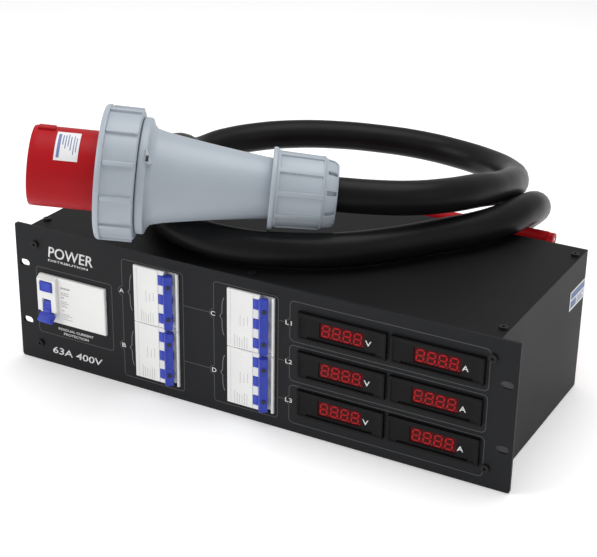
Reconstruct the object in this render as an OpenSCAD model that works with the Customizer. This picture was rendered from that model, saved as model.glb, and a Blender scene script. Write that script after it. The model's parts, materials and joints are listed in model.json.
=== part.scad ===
// Portable power distribution box: 3U rack case with a 63 A supply lead,
// residual current breaker, four breakers, six meters and four outlets.
// Millimetres. Origin: middle of the case's underside, front panel towards -Y, +Z up.

/* [Rack panel] */
// Width over the two rack ears
panel_w = 482.6; // [478:0.1:560]
// Height of the panel and of the case
panel_h = 132.5; // [128:0.5:170]
// Thickness of the front panel
panel_t = 2.5; // [2:0.1:4]
// Radius of the panel's corners
panel_corner_r = 2.5; // [1:0.5:6]
// Rack slots: distance between the two columns
rack_pitch_x = 465.1; // [462:0.1:540]
// Rack slots: distance between the two rows
rack_pitch_z = 57.15; // [44:0.05:89]
// Rack slot length
rack_slot_l = 10.5; // [8:0.5:14]
// Rack slot width
rack_slot_w = 6.6; // [6:0.1:8]
// Panel screws: distance in from the case's sides
panel_screw_in = 4.8; // [4:0.1:8]
// Panel screws: height above and below the middle
panel_screw_z = 49; // [35:0.5:55]

/* [Case] */
// Width of the case behind the panel
case_w = 449; // [445:0.5:510]
// Depth of the case behind the panel
case_d = 200; // [190:1:260]
// Sheet thickness
sheet_t = 1.5; // [1:0.1:2.5]
// Width of the folded lips
lip_w = 14; // [10:0.5:20]
// Width of the upright lips at the front and back
end_lip_w = 8; // [7:0.5:8.5]
// Cover screws: distance in from the sides
cover_screw_in = 5.5; // [5:0.5:9]
// Cover screws: distance in from the front and back edges
cover_screw_end = 17; // [14:1:40]
// Height of the plate that carries the rails
mount_plate_h = 118; // [100:1:126]

/* [Screws] */
// Thread diameter of the case screws
screw_d = 3.5; // [3:0.1:4]
// Head diameter
screw_head_d = 7; // [6:0.1:8]
// Head height
screw_head_h = 2; // [1.5:0.1:3]
// Length under the head
screw_len = 7; // [5:0.5:10]

/* [Modular devices] */
// Width of one pole
pole_w = 18; // [17.5:0.1:18]
// Height of the part that shows through the panel
nose_h = 45.3; // [44:0.1:46]
// Height of the body behind the panel
shoulder_h = 84; // [75:1:88]
// Depth from the panel's face to the rail
device_d = 64.5; // [58:0.5:70]
// Depth of the part that shows through the panel
nose_d = 20; // [15:0.5:25]
// How far a breaker stands out of the panel
breaker_proud = 1.5; // [0.5:0.5:3]
// Distance between the two breaker columns
strip_pitch = 94.5; // [90:0.5:100]
// Left breaker column's centre
strip_x = -90.3; // [-95:0.1:-86]
// Radius of a handle's drum
drum_r = 7.5; // [6:0.1:8]
// Radius of the far edge of the tie bar
handle_r = 15; // [13:0.5:18]
// Width of the tie bar
bar_w = 7; // [6:0.5:9]
// Residual current breaker's centre
rcd_x = -179.8; // [-183:0.1:-176]
// How far its raised left section stands out of the panel
rcd_proud = 6; // [5:0.5:8]

/* [Meters] */
// Width of a meter's bezel
meter_w = 80.4; // [76:0.1:82]
// Height of a meter's bezel
meter_h = 24; // [22:0.5:30]
// How far the bezel stands out
meter_proud = 3; // [2:0.5:4]
// Depth behind the panel
meter_d = 38; // [25:1:50]
// Distance between the rows
meter_pitch = 36; // [34:0.5:40]
// Voltmeter column's centre
volt_x = 89.7; // [88:0.1:91]
// Ammeter column's centre
amp_x = 173.8; // [172:0.1:176]
// Display window width
window_w = 41; // [36:0.5:46]
// Display window height
window_h = 14; // [12:0.5:16]

/* [Outlets] */
// Number of outlets
outlet_n = 4; // [4]
// Centre of the outlet nearest the right side
outlet_x = 146; // [140:1:150]
// Distance between the outlets
outlet_pitch = 86; // [84:0.5:88]
// Height of the outlets' centres
outlet_z = 66; // [64:0.5:70]
// Flange width
flange_w = 78; // [76:1:82]
// Flange height
flange_h = 84; // [80:1:96]
// Flange thickness
flange_t = 5; // [4:0.5:7]
// Outside radius of the barrel
barrel_r = 33.5; // [32:0.5:36]
// Barrel length from the panel to its rim
barrel_l = 58; // [50:1:64]
// Barrel wall
barrel_wall = 3.5; // [3:0.5:5]
// Radius of the contact carrier in an outlet
carrier_r = 22.5; // [20:0.5:24]
// Lid radius
lid_r = 36; // [35:0.5:38]
// Lid thickness
lid_t = 12; // [9:0.5:14]
// Hinge pin diameter
hinge_pin_d = 3; // [2:0.1:4]
// Height of the hinge pin above an outlet's centre
hinge_up = 44; // [43:0.5:50]

/* [Supply lead] */
// Cable diameter
cable_d = 30; // [26:0.5:30]
// Cable gland's place across the back
gland_x = -195; // [-196:0.5:-190]
// Cable gland's height
gland_z = 66; // [60:0.5:72]
// Gland thread diameter
gland_d = 40; // [36:0.5:44]
// Length of the gland outside the panel
gland_l = 35; // [30:1:40]

/* [Plug] */
// Outside radius of the red sleeve
sleeve_r = 33.7; // [32:0.1:35]
// Sleeve wall
sleeve_wall = 3; // [2.5:0.1:4]
// Length of the sleeve ahead of the locking ring
nose_l = 57.5; // [50:0.5:62]
// Outside radius of the locking ring over its ribs
ring_r = 57; // [54:0.5:57]
// Length of the locking ring
ring_l = 32.5; // [28:0.5:36]
// Radius of the collar behind the ring
collar_r = 49; // [47:0.5:50]
// Length of the tapered body behind the collar
body_l = 99; // [90:1:105]
// Radius of the body at the collar
body_r = 40; // [37:0.5:42]
// Radius of the body at the gland nut
neck_r = 25.7; // [24:0.1:28]
// Length of the gland nut
nut_l = 56; // [50:1:60]
// Radius of the gland nut's flange
nut_r = 35.3; // [33:0.1:36]
// Radius of the circle that the pins stand on
pin_circle_r = 19; // [17:0.5:20]
// Phase pin diameter
pin_d = 8; // [7:0.1:9]
// Earth pin diameter
earth_pin_d = 10; // [9:0.1:11]

/* [Hidden] */

$fn = 64;
eps = 0.01;          // overlap that keeps two touching shapes one solid
slack = 0.3;         // gap between fixed pieces that fit in one another
run_gap = 0.4;       // gap between pieces that turn on one another
pin_gap = 0.05;      // radial gap of a hinge pin in its knuckles

// planes and places
front_y = -case_d / 2;               // back face of the front panel
face_y = front_y - panel_t;          // front face of the front panel
rear_y = case_d / 2;                 // outer face of the rear panel
mid_z = panel_h / 2;
side_x = case_w / 2;
rail_y = face_y + device_d;          // front face of the rails
rail_d = 7.5;
rail_w = 35;
rail_t = 1;
plate_y = rail_y + rail_d;           // front face of the mounting plate
strips = [strip_x, strip_x + strip_pitch];
rows = [mid_z + meter_pitch, mid_z, mid_z - meter_pitch];
outlets = [for (i = [0:outlet_n - 1]) outlet_x - i * outlet_pitch];
rim_y = rear_y + barrel_l;           // rim of the outlets' barrels
hinge_y = rim_y + 2;
hinge_z = outlet_z + hinge_up;
knuckle_r = 6;
knuckle_w = 43;
lug_w = 6;
lug_in = knuckle_w / 2 + run_gap;    // inner face of a hinge lug, from an outlet's middle
handle_lean = 50;                    // lean of a closed handle from the panel's face
toggle_lean = 45;                    // how far the toggle hangs below level
drum_x = 6.5;                        // drum centre from a breaker's middle
drum_y = face_y - breaker_proud + 6.5; // drum centre behind a breaker's face

// the plug lies across the cover on its own cable
plug_yaw = 28;
plug_dip = 5;
plug_at = [-184, -143, panel_h + 77.5];
plug_dir = [cos(plug_yaw) * cos(plug_dip), sin(plug_yaw) * cos(plug_dip), -sin(plug_dip)];
ring_s = nose_l;                     // places along the plug's axis, from its mouth
flange_s = ring_s + ring_l - 12;
collar_s = ring_s + ring_l + run_gap;
body_s = collar_s + 10;
nut_s = body_s + body_l;
end_s = nut_s + nut_l;
grip_depth = 20;                     // how deep the cable sits in its nuts
locknut_d = 52;

// the cable's route, from the plug's nut round to the gland at the back
cable_r = cable_d / 2;
route = concat(
    [for (s = [end_s - grip_depth, end_s - 8, end_s + 2]) plug_at + s * plug_dir],
    [[70, -7, 186], [96, 13, 184], [116, 42, 181], [127, 80, 175], [129, 122, 164],
     [123, 166, 152], [111, 212, 139], [90, 256, 128], [58, 290, 121], [16, 308, 119],
     [-30, 309, 121], [-75, 299, 123], [-115, 279, 126], [-151, 253, 128], [-180, 225, 128],
     [-200, 190, 128], [-209, 150, 128.5], [-206, 118, 143], [-201, 98, 148.5], [-192, 72, 148.5], [-170, 28, 148],
     [-148, -12, 148], [-126, -41, 148], [-98, -64, 148], [-62, -77, 148], [-22, -78, 148],
     [19, -66, 148], [56, -43, 148], [86, -12, 148], [113, 26, 148], [136, 60, 148],
     [150, 94, 148], [154, 124, 146], [152, 154, 139], [144, 184, 127], [128, 210, 109],
     [105, 230, 86], [76, 246, 61], [42, 257, 38], [4, 264, 21], [-40, 267, 16], [-82, 260, 16],
     [-120, 244, 21], [-150, 222, 30], [-174, 194, 44], [-189, 162, 57], [-194, 147, 63]],
    [[gland_x, rear_y + gland_l - 4, gland_z], [gland_x, rear_y + gland_l - grip_depth, gland_z]]
);

// ---- helpers ----

// flat plate in the X-Z plane, its front face at y
module plate_xz(w, h, t, y, zc, xc = 0, r = 0) {
    translate([xc, y + t, zc]) rotate([90, 0, 0]) linear_extrude(t)
        if (r > 0) rounded(w, h, r);
        else square([w, h], center = true);
}

// rectangle with round corners, exact arcs
module rounded(w, h, r) {
    square([w - 2 * r, h], center = true);
    square([w, h - 2 * r], center = true);
    for (x = [-1, 1], z = [-1, 1])
        translate([x * (w / 2 - r), z * (h / 2 - r)]) circle(r);
}

// cylinder along +Y starting at y
module rod_y(r, l, p) {
    translate(p) rotate([-90, 0, 0]) cylinder(r = r, h = l);
}

// cylinder along X centred on p
module rod_x(r, l, p) {
    translate(p) rotate([0, 90, 0]) cylinder(r = r, h = l, center = true);
}

// pan-head screw whose head bears on the plane at p, shank along +Z of the frame
module screw() {
    color([0.08, 0.08, 0.09]) {
        difference() {
            translate([0, 0, -screw_head_h]) cylinder(d = screw_head_d, h = screw_head_h);
            translate([0, 0, -screw_head_h - eps]) cylinder(d = 3, h = 1.2, $fn = 6);
        }
        translate([0, 0, -eps]) cylinder(d = screw_d, h = screw_len);
    }
}

// places a shape that points along +Z so that it points along +Y, -Y or -Z
module towards_back(p) { translate(p) rotate([-90, 0, 0]) children(); }
module towards_front(p) { translate(p) rotate([90, 0, 0]) children(); }
module downwards(p) { translate(p) rotate([180, 0, 0]) children(); }

cover_holes = [for (x = [-1, 0, 1], y = [-1, 1])
    [x * (side_x - cover_screw_in), y * (case_d / 2 - (x == 0 ? lip_w / 2 : cover_screw_end)) - sheet_t / 2]];
rear_holes = [for (x = [-1, 1], z = [-1, 1])
    [x * (side_x - cover_screw_in), mid_z + z * panel_screw_z]];
panel_holes = [for (x = [-1, 1], z = [-1, 1])
    [x * (side_x - panel_screw_in), mid_z + z * panel_screw_z]];
hole_r = screw_d / 2 + slack / 2;

// ---- case ----

module chassis_tray() {
    inner_y = case_d - sheet_t;
    color([0.13, 0.13, 0.14]) difference() {
        union() {
            translate([-side_x, front_y, 0]) cube([case_w, inner_y, sheet_t]);
            for (s = [-1, 1]) {
                translate([s * (side_x - sheet_t / 2), front_y + inner_y / 2, mid_z - eps])
                    cube([sheet_t, inner_y, panel_h - 2 * sheet_t + 2 * eps], center = true);
                translate([s * (side_x - lip_w / 2), front_y + inner_y / 2, panel_h - 1.5 * sheet_t])
                    cube([lip_w, inner_y - 2 * lip_w, sheet_t], center = true);
                for (y = [front_y + sheet_t / 2, front_y + inner_y - sheet_t / 2])
                    translate([s * (side_x - end_lip_w / 2), y, mid_z])
                        cube([end_lip_w, sheet_t, panel_h - 2 * sheet_t], center = true);
            }
        }
        for (p = cover_holes) translate([p.x, p.y, panel_h - 3 * sheet_t])
            cylinder(r = hole_r, h = 3 * sheet_t);
        for (p = panel_holes) rod_y(hole_r, 3 * sheet_t, [p.x, front_y - sheet_t, p.y]);
        for (p = rear_holes) rod_y(hole_r, 3 * sheet_t, [p.x, rear_y - 3 * sheet_t, p.y]);
        // room for the gland's locknut
        rod_y(locknut_d / 2 + 2 * slack, 3 * sheet_t, [gland_x, rear_y - 3 * sheet_t, gland_z]);
        // rows of cooling slots under the case
        for (x = [-120:60:120], i = [0:4]) translate([x - 18, -20 + 10 * i, -1])
            cube([36, 4, sheet_t + 2]);
    }
}

module top_cover() {
    color([0.16, 0.16, 0.17]) difference() {
        translate([-side_x, front_y, panel_h - sheet_t]) cube([case_w, case_d - sheet_t, sheet_t]);
        for (p = cover_holes) translate([p.x, p.y, panel_h - 2 * sheet_t])
            cylinder(r = hole_r, h = 3 * sheet_t);
    }
}

// angles under the cover's front and back edges, between the tray's flanges
module top_braces() {
    brace_w = case_w - 2 * lip_w - 2 * slack;
    color([0.45, 0.46, 0.48]) for (s = [-1, 1]) {
        edge_y = s < 0 ? front_y : rear_y - sheet_t;
        difference() {
            union() {
                translate([0, edge_y - s * lip_w / 2, panel_h - 1.5 * sheet_t])
                    cube([brace_w, lip_w, sheet_t], center = true);
                translate([0, edge_y - s * sheet_t / 2, panel_h - sheet_t - 3.5])
                    cube([brace_w, sheet_t, 7], center = true);
            }
            translate([0, s * (case_d / 2 - lip_w / 2) - sheet_t / 2, panel_h - 3 * sheet_t])
                cylinder(r = hole_r, h = 3 * sheet_t);
        }
    }
}

module rear_panel() {
    color([0.13, 0.13, 0.14]) difference() {
        plate_xz(case_w, panel_h, sheet_t, rear_y - sheet_t, mid_z);
        for (x = outlets) {
            rod_y(barrel_r - 2 + slack, 3 * sheet_t, [x, rear_y - 2 * sheet_t, outlet_z]);
            for (p = outlet_holes(x)) rod_y(hole_r, 3 * sheet_t, [p.x, rear_y - 2 * sheet_t, p.y]);
        }
        rod_y(gland_d / 2 + slack, 3 * sheet_t, [gland_x, rear_y - 2 * sheet_t, gland_z]);
        for (p = rear_holes) rod_y(hole_r, 3 * sheet_t, [p.x, rear_y - 2 * sheet_t, p.y]);
    }
}

module front_panel() {
    cut_y = face_y - 1;
    cut_t = panel_t + 2;
    color([0.12, 0.125, 0.14]) difference() {
        plate_xz(panel_w, panel_h, panel_t, face_y, mid_z, r = panel_corner_r);
        for (x = [-1, 1], z = [-1, 1]) {
            px = x * rack_pitch_x / 2;
            pz = mid_z + z * rack_pitch_z / 2;
            half = (rack_slot_l - rack_slot_w) / 2;
            for (e = [-half, half]) rod_y(rack_slot_w / 2, cut_t, [px + e, cut_y, pz]);
            plate_xz(2 * half, rack_slot_w, cut_t, cut_y, pz, px);
        }
        for (p = panel_holes) rod_y(hole_r, cut_t, [p.x, cut_y, p.y]);
        plate_xz(4 * pole_w + 2 * slack, nose_h + 2 * slack, cut_t, cut_y, mid_z, rcd_x);
        for (x = strips) plate_xz(nose_h + 2 * slack, 6 * pole_w + 2 * slack, cut_t, cut_y, mid_z, x);
        for (x = [volt_x, amp_x], z = rows)
            plate_xz(meter_w - 4 + 2 * slack, meter_h - 3 + 2 * slack, cut_t, cut_y, z, x);
    }
}

module cover_screws() {
    for (p = cover_holes) downwards([p.x, p.y, panel_h]) screw();
}

module rear_screws() {
    for (p = rear_holes) towards_front([p.x, rear_y, p.y]) screw();
}

module panel_screws() {
    for (p = panel_holes) towards_back([p.x, face_y, p.y]) screw();
}

// ---- device carrier ----

module mounting_plate() {
    left = -side_x + sheet_t + 1;
    right = strips[1] + shoulder_h / 2;
    color([0.7, 0.71, 0.72]) difference() {
        union() {
            translate([left, plate_y, sheet_t]) cube([right - left, sheet_t, mount_plate_h]);
            translate([left, plate_y, sheet_t]) cube([right - left, 20, sheet_t]);
        }
        for (x = [left + 20, (left + right) / 2, right - 20])
            translate([x, plate_y + 12, 0]) cylinder(r = hole_r, h = 4 * sheet_t);
    }
}

// top-hat rail section, its flanges at the front
module rail_section() {
    polygon([[-rail_w / 2, 0], [-rail_w / 2 + 5, 0], [-rail_w / 2 + 5, rail_d - rail_t],
             [rail_w / 2 - 5, rail_d - rail_t], [rail_w / 2 - 5, 0], [rail_w / 2, 0],
             [rail_w / 2, rail_t], [rail_w / 2 - 4, rail_t], [rail_w / 2 - 4, rail_d],
             [-rail_w / 2 + 4, rail_d], [-rail_w / 2 + 4, rail_t], [-rail_w / 2, rail_t]]);
}

module din_rails() {
    color([0.75, 0.76, 0.78]) {
        for (x = strips) translate([x, rail_y, mid_z - 3 * pole_w - 2])
            linear_extrude(6 * pole_w + 4) rail_section();
        translate([rcd_x - 2 * pole_w - 2, rail_y, mid_z]) rotate([90, 0, 90])
            linear_extrude(4 * pole_w + 4) mirror([1, -1, 0]) rail_section();
    }
}

// ---- residual current breaker ----

rcd_face_y = face_y - 2;
rcd_toggle_z = mid_z - 7.25;
rcd_toggle_y = face_y + 1;
rcd_raised_w = 20;
rcd_raised_z = mid_z - 11.6;         // underside of the raised section
rcd_left = rcd_x - 2 * pole_w + slack;
rcd_key_x = rcd_left + rcd_raised_w / 2;
button_w = 13.2;
button_h = 9.6;
button_z = mid_z + 13;
button_travel = 2;

module rcd_body() {
    body_w = 4 * pole_w - 2 * slack;
    color([0.93, 0.93, 0.9]) difference() {
        union() {
            translate([rcd_left, rcd_face_y, mid_z - nose_h / 2]) cube([body_w, nose_d + 4, nose_h]);
            translate([rcd_left, rcd_face_y + nose_d, mid_z - shoulder_h / 2])
                cube([body_w, rail_y - rcd_face_y - nose_d, shoulder_h]);
            // raised left section with a sloping top
            translate([rcd_left, 0, 0]) rotate([90, 0, 90]) linear_extrude(rcd_raised_w)
                polygon([[rcd_face_y + 1, rcd_raised_z], [face_y - rcd_proud, rcd_raised_z],
                         [face_y - rcd_proud, mid_z + 19.5], [rcd_face_y, mid_z + nose_h / 2],
                         [rcd_face_y + 1, mid_z + nose_h / 2]]);
        }
        // well of the test button
        translate([rcd_key_x - button_w / 2 - slack, face_y - rcd_proud - 1, button_z - button_h / 2 - slack])
            cube([button_w + 2 * slack, rcd_proud + 13, button_h + 2 * slack]);
        // well of the toggle
        translate([rcd_key_x - 5, face_y - rcd_proud - 1, rcd_toggle_z - 11])
            cube([10, rcd_proud + 9, 19]);
        rod_x(7 + run_gap, 10, [rcd_key_x, rcd_toggle_y, rcd_toggle_z]);
    }
}

// lever that hinges across the well, hanging down at rest
module rcd_toggle() {
    color([0.27, 0.27, 0.85]) translate([rcd_key_x, rcd_toggle_y, rcd_toggle_z]) {
        rod_x(7, 9.2, [0, 0, 0]);
        rotate([toggle_lean, 0, 0]) {
            translate([-4.2, -10, -3]) cube([8.4, 7, 6]);
            translate([-8.4, -18, -3.5]) cube([16.8, 9, 7]);
        }
    }
}

module rcd_test_button() {
    color([0.3, 0.3, 0.88])
        translate([rcd_key_x - button_w / 2, face_y - rcd_proud - 1.6, button_z - button_h / 2])
            cube([button_w, 8, button_h]);
}

// ---- breakers ----

// three-pole breaker lying on its side, poles stacked along Z
module breaker(xc, zc) {
    nose_y = face_y - breaker_proud;
    len_z = 3 * pole_w - 2 * slack;
    color([0.94, 0.94, 0.92]) translate([xc, 0, zc]) difference() {
        union() {
            translate([-nose_h / 2, nose_y, -len_z / 2]) cube([nose_h, nose_d + 1, len_z]);
            translate([-shoulder_h / 2, nose_y + nose_d, -len_z / 2])
                cube([shoulder_h, rail_y - nose_y - nose_d, len_z]);
        }
        // trough beside the handles
        translate([9, nose_y - 1, -len_z / 2 - 1]) cube([nose_h / 2 - 11.2, 6, len_z + 2]);
        for (p = [-1:1]) translate([drum_x, drum_y, p * pole_w])
            cylinder(r = drum_r + run_gap, h = 9.6, center = true);
    }
}

module breaker_handle(xc, zc) {
    color([0.22, 0.32, 0.75]) translate([xc + drum_x, drum_y, zc]) {
        for (p = [-1:1]) translate([0, 0, p * pole_w]) {
            cylinder(r = drum_r, h = 8.8, center = true);
            rotate([0, 0, -handle_lean]) translate([handle_r / 2 - 1, 0, 0])
                cube([handle_r - 3, 4, 8.8], center = true);
        }
        rotate([0, 0, -handle_lean]) difference() {
            translate([handle_r - 3.25, 0, 0]) cube([6.5, bar_w, 3 * pole_w - 4], center = true);
            for (z = [-15, 15]) translate([handle_r - 3.25, 0, z]) rotate([90, 0, 0])
                cylinder(r = 1.7, h = bar_w + 2, center = true);
        }
    }
}

breaker_zs = [mid_z + 1.5 * pole_w, mid_z - 1.5 * pole_w];
module breaker_a() { breaker(strips[0], breaker_zs[0]); }
module breaker_b() { breaker(strips[0], breaker_zs[1]); }
module breaker_c() { breaker(strips[1], breaker_zs[0]); }
module breaker_d() { breaker(strips[1], breaker_zs[1]); }
module handle_a() { breaker_handle(strips[0], breaker_zs[0]); }
module handle_b() { breaker_handle(strips[0], breaker_zs[1]); }
module handle_c() { breaker_handle(strips[1], breaker_zs[0]); }
module handle_d() { breaker_handle(strips[1], breaker_zs[1]); }

// ---- meters ----

window_dx = 0.4;         // the window's place from a bezel's middle
window_dz = 0.3;
meter_wall = 1.5;
meter_body_w = meter_w - 4;
meter_body_h = meter_h - 3;

module meter(xc, zc) {
    front = face_y - meter_proud;
    color([0.1, 0.1, 0.11]) difference() {
        union() {
            plate_xz(meter_w, meter_h, meter_proud, front, zc, xc, 2);
            plate_xz(meter_body_w, meter_body_h, meter_d + 1, face_y - 1, zc, xc);
        }
        plate_xz(window_w, window_h, 10, front - 1, zc + window_dz, xc + window_dx);
        plate_xz(meter_body_w - 2 * meter_wall, meter_body_h - 2 * meter_wall, meter_d + 2,
                 face_y + 2, zc, xc);
        // dished lip under the window
        translate([xc, front - 2.2, zc - 10.2]) rod_x(3, meter_w - 14, [0, 0, 0]);
    }
}

module voltmeter_l1() { meter(volt_x, rows[0]); }
module voltmeter_l2() { meter(volt_x, rows[1]); }
module voltmeter_l3() { meter(volt_x, rows[2]); }
module ammeter_l1() { meter(amp_x, rows[0]); }
module ammeter_l2() { meter(amp_x, rows[1]); }
module ammeter_l3() { meter(amp_x, rows[2]); }

module meter_windows() {
    color([0.45, 0.05, 0.06]) for (x = [volt_x, amp_x], z = rows)
        plate_xz(window_w - slack, window_h - slack, 1.5, face_y - meter_proud + 1.2, z + window_dz, x + window_dx);
}

module meter_boards() {
    color([0.1, 0.35, 0.2]) for (x = [volt_x, amp_x], z = rows) {
        plate_xz(meter_body_w - 2 * meter_wall - 2, meter_body_h - 2 * meter_wall - 2, 1.6, face_y + 8, z, x);
        plate_xz(window_w - 1, window_h - 1, 8 + eps, face_y, z + window_dz, x + window_dx);
        plate_xz(30, 8, 14, face_y + 9.6 - eps, z, x);
    }
}

// sheet-metal springs that hold the meters against the panel
module meter_clips() {
    color([0.75, 0.75, 0.77]) for (x = [volt_x, amp_x], z = rows, s = [-1, 1])
        translate([x + s * (meter_body_w / 2 + 0.6 + slack), front_y + 10, z])
            cube([1.2, 20, 9], center = true);
}

// ---- outlets ----

function outlet_holes(x) = [for (a = [-1, 1], b = [-1, 1])
    [x + a * (flange_w / 2 - 6), outlet_z + b * (flange_h / 2 - 6)]];

function contact_angles() = [for (k = [0:4]) -90 + 72 * k];

// hinge profile in the Y-Z plane: a round knuckle on a foot that reaches the barrel
module lug_profile() {
    translate([hinge_y, hinge_z]) circle(knuckle_r - 0.5);
    polygon([[rim_y - 26, outlet_z + barrel_r / 2], [rim_y - 8, outlet_z + barrel_r / 2],
             [hinge_y + 3.4, hinge_z - 4.2], [hinge_y - 3.4, hinge_z + 4.2]]);
}

module outlet(x) {
    color([0.72, 0.08, 0.1]) difference() {
        union() {
            plate_xz(flange_w, flange_h, flange_t, rear_y, outlet_z, x, 6);
            rod_y(barrel_r - 2, 20, [x, rear_y - 18, outlet_z]);
            rod_y(barrel_r, barrel_l, [x, rear_y, outlet_z]);
            for (s = [-1, 1]) translate([x + s * (lug_in + lug_w / 2) - lug_w / 2, 0, 0])
                rotate([90, 0, 90]) linear_extrude(lug_w) lug_profile();
        }
        // annular well round the contact carrier
        difference() {
            rod_y(barrel_r - barrel_wall, barrel_l, [x, rear_y + 10, outlet_z]);
            rod_y(carrier_r, barrel_l - 14, [x, rear_y + 9, outlet_z]);
        }
        // keyway
        translate([x - 4, rear_y + 20, outlet_z - barrel_r + 1.2]) cube([8, barrel_l, 4]);
        rod_y(barrel_r - 2 - barrel_wall, 22, [x, rear_y - 24, outlet_z]);
        for (a = contact_angles()) rod_y((a == -90 ? 4 : 3.2) + slack, barrel_l + 4,
            [x + 15 * cos(a), rear_y - 6, outlet_z + 15 * sin(a)]);
        for (p = outlet_holes(x)) rod_y(hole_r, flange_t + 2, [p.x, rear_y - 1, p.y]);
        rod_x(hinge_pin_d / 2 + pin_gap, 2 * (lug_in + lug_w) + 2, [x, hinge_y, hinge_z]);
    }
}

module outlet_lid(x) {
    lid_y = rim_y + run_gap;
    arm_z = outlet_z + lid_r - 8;
    color([0.75, 0.09, 0.11]) difference() {
        union() {
            rod_y(lid_r, lid_t - 3, [x, lid_y, outlet_z]);
            rod_y(lid_r - 3, lid_t, [x, lid_y, outlet_z]);
            translate([x - knuckle_w / 2, lid_y, arm_z]) cube([knuckle_w, lid_t - 3, hinge_z - arm_z]);
            rod_x(knuckle_r, knuckle_w, [x, hinge_y, hinge_z]);
            // finger lip at the bottom
            translate([x - 14, lid_y, outlet_z - lid_r - 4]) cube([28, 5, 10]);
        }
        rod_x(hinge_pin_d / 2 + pin_gap, knuckle_w + 2, [x, hinge_y, hinge_z]);
        // shallow dish inside
        rod_y(barrel_r - barrel_wall, 4, [x, lid_y - 1, outlet_z]);
    }
}

module outlet_1() { outlet(outlets[0]); }
module outlet_2() { outlet(outlets[1]); }
module outlet_3() { outlet(outlets[2]); }
module outlet_4() { outlet(outlets[3]); }
module outlet_lid_1() { outlet_lid(outlets[0]); }
module outlet_lid_2() { outlet_lid(outlets[1]); }
module outlet_lid_3() { outlet_lid(outlets[2]); }
module outlet_lid_4() { outlet_lid(outlets[3]); }

module hinge_pins() {
    color([0.75, 0.76, 0.78]) for (x = outlets)
        rod_x(hinge_pin_d / 2, 2 * (lug_in + lug_w), [x, hinge_y, hinge_z]);
}

// brass sleeves in the carriers
module outlet_contacts() {
    color([0.8, 0.65, 0.3]) for (x = outlets, a = contact_angles()) {
        r = a == -90 ? 4 : 3.2;
        difference() {
            rod_y(r, 40, [x + 15 * cos(a), rear_y - 5, outlet_z + 15 * sin(a)]);
            rod_y(r - 0.8, 30, [x + 15 * cos(a), rear_y + 6, outlet_z + 15 * sin(a)]);
        }
    }
}

// flat gaskets behind the rear panel's outlets
module outlet_gaskets() {
    color([0.1, 0.1, 0.1]) for (x = outlets) difference() {
        rod_y(barrel_r + 3, 1, [x, rear_y - sheet_t - 1, outlet_z]);
        rod_y(barrel_r - 2 + slack, 3, [x, rear_y - sheet_t - 2, outlet_z]);
    }
}

module outlet_screws() {
    for (x = outlets, p = outlet_holes(x)) towards_front([p.x, rear_y + flange_t, p.y]) screw();
}

// ---- cable gland and cable ----

module cable_gland() {
    color([0.09, 0.09, 0.1]) difference() {
        union() {
            rod_y(gland_d / 2, 12, [gland_x, rear_y - 12, gland_z]);
            translate([gland_x, rear_y, gland_z]) rotate([-90, 0, 0]) cylinder(d = 54, h = 8, $fn = 6);
            rod_y(21, 14, [gland_x, rear_y, gland_z]);
        }
        rod_y(cable_r - 1, 40, [gland_x, rear_y - 13, gland_z]);
    }
}

module gland_dome_nut() {
    base = rear_y + 8 + slack;
    color([0.09, 0.09, 0.1]) difference() {
        union() {
            translate([gland_x, base, gland_z]) rotate([-90, 0, 0]) cylinder(d = 53, h = 15, $fn = 12);
            rod_y(22, gland_l - 8 - slack, [gland_x, base, gland_z]);
        }
        rod_y(21 + slack, 6.3, [gland_x, base - eps, gland_z]);
        rod_y(cable_r + slack, grip_depth + 1, [gland_x, rear_y + gland_l - grip_depth - eps, gland_z]);
        // flared mouth
        translate([gland_x, rear_y + gland_l - 8, gland_z]) rotate([-90, 0, 0])
            cylinder(r1 = cable_r + slack, r2 = cable_r + 2, h = 8 + eps);
    }
}

module gland_locknut() {
    color([0.09, 0.09, 0.1]) difference() {
        translate([gland_x, rear_y - sheet_t - 6, gland_z]) rotate([-90, 0, 0])
            cylinder(d = locknut_d, h = 6, $fn = 6);
        rod_y(gland_d / 2 + slack / 2, 8, [gland_x, rear_y - sheet_t - 7, gland_z]);
    }
}

function unit(v) = v / norm(v);
function at_or_end(p, i) = p[max(0, min(len(p) - 1, i))];
// a frame carried along the route, so that the tube doesn't twist
function frames(p, i = 0, n = [0, 0, 1]) = let (
        t = unit(at_or_end(p, i + 1) - at_or_end(p, i - 1)),
        u = unit(n - (n * t) * t))
    i == len(p) - 1 ? [[p[i], t, u]] : concat([[p[i], t, u]], frames(p, i + 1, u));

module tube_along(p, r, sides) {
    rings = frames(p);
    n = len(rings);
    points = [for (f = rings, k = [0:sides - 1])
        f[0] + r * (cos(360 * k / sides) * f[2] + sin(360 * k / sides) * cross(f[1], f[2]))];
    walls = [for (i = [0:n - 2], k = [0:sides - 1]) let (a = i * sides + k, b = i * sides + (k + 1) % sides)
        [a, a + sides, b + sides, b]];
    polyhedron(points, concat(walls, [[for (k = [0:sides - 1]) k]],
        [[for (k = [sides - 1:-1:0]) (n - 1) * sides + k]]), convexity = 6);
}

module supply_cable() {
    color([0.07, 0.07, 0.075]) tube_along(route, cable_r, 12);
}

// ---- plug, drawn along +Z from its mouth and then laid in place ----

module laid() {
    translate(plug_at) rotate([0, 90 + plug_dip, plug_yaw]) children();
}

module plug_sleeve() {
    color([0.72, 0.09, 0.12]) laid() difference() {
        union() {
            cylinder(r = sleeve_r, h = flange_s);
            translate([-sleeve_r - 1.6, -5, 3]) cube([10, 10, 15]);
        }
        translate([0, 0, -1]) cylinder(r = sleeve_r - sleeve_wall, h = flange_s - 8);
        for (a = [0:4]) rotate([0, 0, 72 * a]) translate([-pin_circle_r, 0, 0])
            cylinder(d = (a == 0 ? earth_pin_d : pin_d) + slack, h = flange_s + 2);
    }
}

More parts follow.
